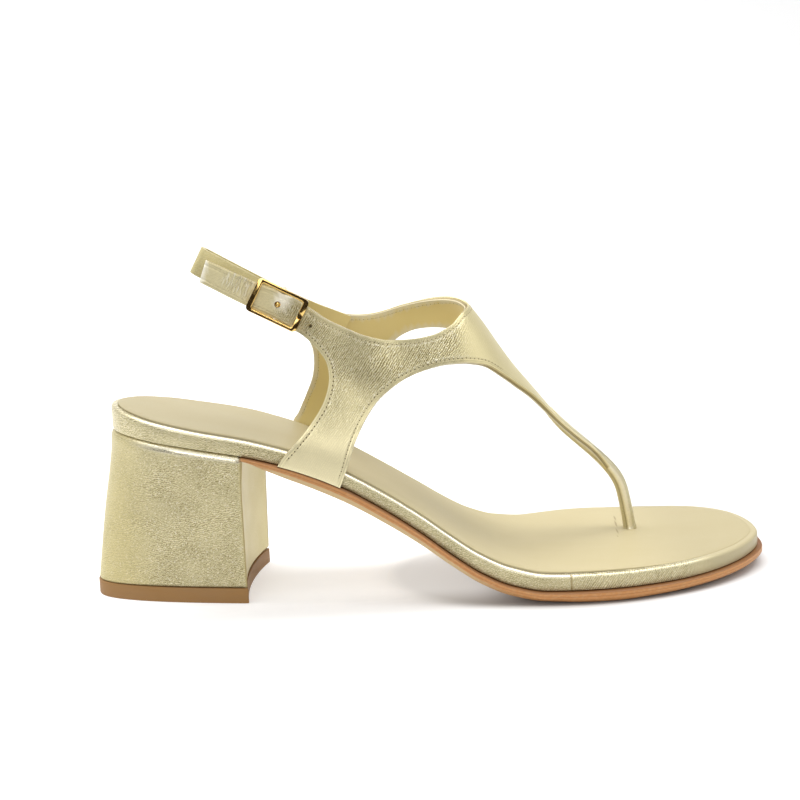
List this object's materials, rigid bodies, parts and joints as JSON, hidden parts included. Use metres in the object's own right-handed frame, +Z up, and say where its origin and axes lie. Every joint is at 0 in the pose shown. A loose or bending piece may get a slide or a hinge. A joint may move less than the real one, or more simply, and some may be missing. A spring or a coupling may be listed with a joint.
{
  "type": "toe post sandal",
  "caption": "Pale gold metallic leather T-strap toe post sandal on a covered flared block heel, with a slingback strap, a rectangular buckle and a wrapped insole edge",
  "frame": {"origin": "on the floor under the middle of the shoe's length and width, between the flat spots of the heel and the forefoot", "axes": "+X runs from the heel to the toe, +Y to the medial side of this right shoe, +Z up from the floor"},
  "size_m": [0.2436, 0.084, 0.1237],
  "materials": {
    "gold_leather": "pale gold metallic, fine grain, satin",
    "sock_leather": "pale gold, smooth, soft sheen",
    "sole_leather": "tan, stacked edge, waxed",
    "lift_rubber": "brown, matte",
    "buckle_metal": "polished, gold coloured"
  },
  "bodies": {
    "root": {"outsole": "sole_leather", "insole_board": "gold_leather", "insole": "sock_leather", "heel": "gold_leather", "top_lift": "lift_rubber", "upper": "gold_leather", "heel_strap": "gold_leather", "buckle_frame": "buckle_metal", "buckle_prong": "buckle_metal"}
  },
  "joints": []
}
